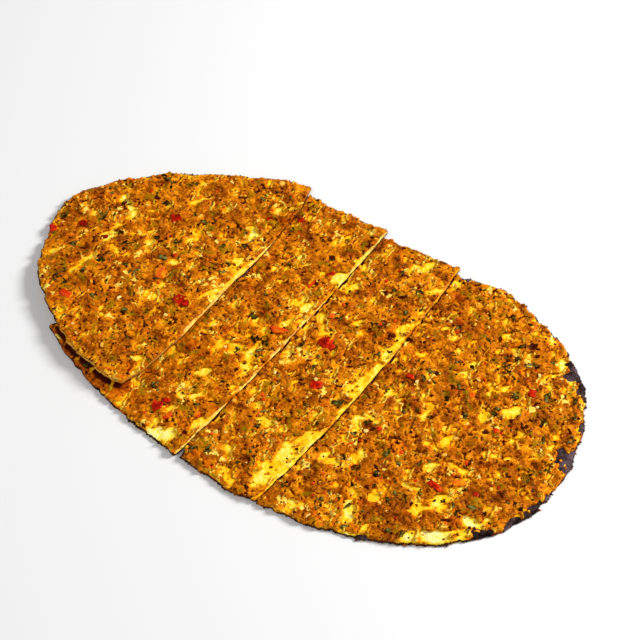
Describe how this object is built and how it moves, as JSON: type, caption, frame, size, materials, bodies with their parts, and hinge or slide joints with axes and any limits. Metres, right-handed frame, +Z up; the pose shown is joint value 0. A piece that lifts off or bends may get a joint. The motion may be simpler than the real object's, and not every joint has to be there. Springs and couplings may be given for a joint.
{
  "type": "lahmacun",
  "caption": "Long oval flatbread topped with minced meat, herbs and pepper, cut across into slices that lie together, the left one swung onto its neighbour.",
  "frame": {"origin": "middle of the bread's box at the level it rests on", "axes": "+X along the bread's long axis towards the uncut slice's round end, +Y towards its far rim, +Z up out of the meat"},
  "size_m": [0.3626, 0.21, 0.0128],
  "materials": {
    "dough": "matte baked flour dough",
    "meat": "moist roasted minced meat with a satin sheen",
    "pepper": "moist cooked red pepper and tomato dice",
    "herb": "wilted chopped leaves",
    "onion": "translucent cooked chopped onion",
    "char": "burnt dough flakes"
  },
  "bodies": {
    "root": {"slice_1_dough": "dough", "slice_1_meat": "meat", "slice_2_dough": "dough", "slice_2_meat": "meat", "slice_3_dough": "dough", "slice_3_meat": "meat", "slice_4_dough": "dough", "slice_4_meat": "meat"}
  },
  "joints": []
}
